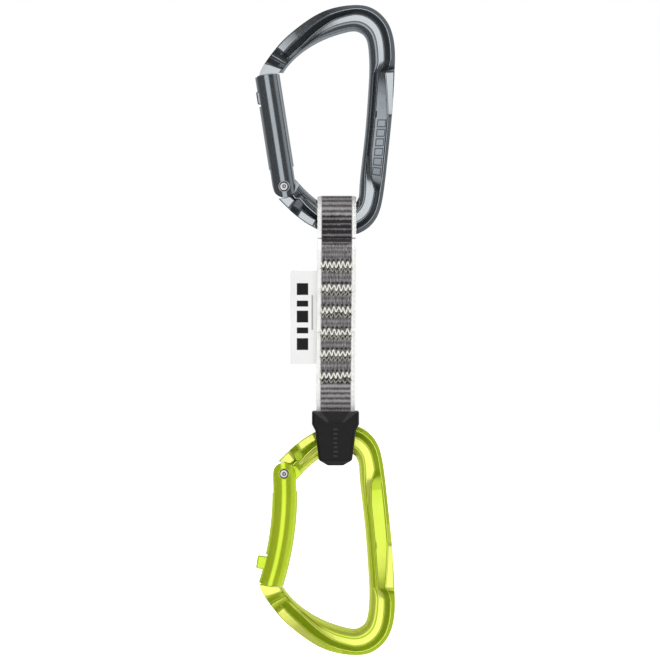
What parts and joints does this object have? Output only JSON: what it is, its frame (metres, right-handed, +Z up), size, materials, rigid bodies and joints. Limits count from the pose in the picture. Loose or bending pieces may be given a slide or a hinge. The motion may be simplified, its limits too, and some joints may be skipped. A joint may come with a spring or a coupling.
{
  "type": "climbing quickdraw",
  "caption": "Quickdraw for sport climbing: a straight-gate and a bent-gate keylock carabiner joined by a sewn webbing sling with a rubber keeper.",
  "frame": {"origin": "inner apex of the upper carabiner, where it hangs on a bolt hanger", "axes": "+Z up along the quickdraw, +X from the gates to the spines, front face towards -Y"},
  "size_m": [0.0615, 0.0186, 0.2855],
  "materials": {
    "anodised_grey": "glossy slate-grey anodised",
    "anodised_lime": "glossy lime-green anodised",
    "stainless_steel": "bright polished",
    "spring_steel": "drawn wire",
    "webbing": "ribbed polyamide webbing with white selvedges",
    "bartack_thread": "twisted polyester thread",
    "label_tape": "printed woven tape",
    "keeper_rubber": "matt moulded rubber"
  },
  "bodies": {
    "upper_carabiner": {"upper_body": "anodised_grey", "upper_gate_rivet": "stainless_steel"},
    "upper_gate": {"upper_gate": "anodised_grey", "upper_gate_spring": "spring_steel"},
    "upper_pusher": {"upper_gate_pusher": "spring_steel"},
    "sling_top": {"webbing_top_loop": "webbing"},
    "sling": {"webbing_middle": "webbing", "bartack_1": "bartack_thread", "bartack_2": "bartack_thread", "bartack_3": "bartack_thread", "bartack_4": "bartack_thread", "bartack_5": "bartack_thread", "bartack_6": "bartack_thread"},
    "label": {"label": "label_tape"},
    "keeper": {"keeper": "keeper_rubber", "webbing_bottom_loop": "webbing"},
    "lower_carabiner": {"lower_body": "anodised_lime", "lower_gate_rivet": "stainless_steel"},
    "lower_gate": {"lower_gate": "anodised_lime", "lower_gate_spring": "spring_steel"},
    "lower_pusher": {"lower_gate_pusher": "spring_steel"}
  },
  "joints": [
    {"name": "upper_gate_hinge", "type": "hinge", "parent": "upper_carabiner", "child": "upper_gate", "pos_m": [-0.0302, 0, -0.0683], "axis": [0, 1, 0], "range_deg": [0, 35], "stiffness_Nm_per_rad": 0.25, "springref_deg": -34.38},
    {"name": "upper_pusher_slide", "type": "slide", "parent": "upper_gate", "child": "upper_pusher", "axis": [-0.1538, 0, 0.9881], "range_m": [0, 0.00098], "deforming": ["upper_gate_spring"]},
    {"name": "sling_sway", "type": "hinge", "parent": "upper_carabiner", "child": "sling_top", "pos_m": [-0.0069, 0, -0.066], "axis": [0, 1, 0], "range_deg": [-7, 7]},
    {"name": "sling_top_flex", "type": "hinge", "parent": "sling_top", "child": "sling", "pos_m": [-0.0069, 0, -0.097], "axis": [1, 0, 0], "range_deg": [-55, 55]},
    {"name": "label_flap", "type": "hinge", "parent": "sling", "child": "label", "pos_m": [-0.0159, 0, -0.12565], "axis": [0, 0, 1], "range_deg": [-50, 50], "stiffness_Nm_per_rad": 0.0005},
    {"name": "keeper_flex", "type": "hinge", "parent": "sling", "child": "keeper", "pos_m": [-0.0069, 0, -0.16], "axis": [1, 0, 0], "range_deg": [-55, 55]},
    {"name": "lower_carabiner_tilt", "type": "hinge", "parent": "keeper", "child": "lower_carabiner", "pos_m": [-0.0069, 0, -0.1965], "axis": [0, 1, 0], "range_deg": [-5, 5]},
    {"name": "lower_gate_hinge", "type": "hinge", "parent": "lower_carabiner", "child": "lower_gate", "pos_m": [-0.0302, 0, -0.1942], "axis": [0, -1, 0], "range_deg": [0, 35], "stiffness_Nm_per_rad": 0.25, "springref_deg": -34.38},
    {"name": "lower_pusher_slide", "type": "slide", "parent": "lower_gate", "child": "lower_pusher", "axis": [0.0619, 0, -0.9981], "range_m": [0, 0.00098], "deforming": ["lower_gate_spring"]}
  ],
  "couplings": [
    {"joint": "upper_pusher_slide", "follows": "upper_gate_hinge", "m_per_rad": 0.0016},
    {"joint": "lower_pusher_slide", "follows": "lower_gate_hinge", "m_per_rad": 0.0016}
  ]
}
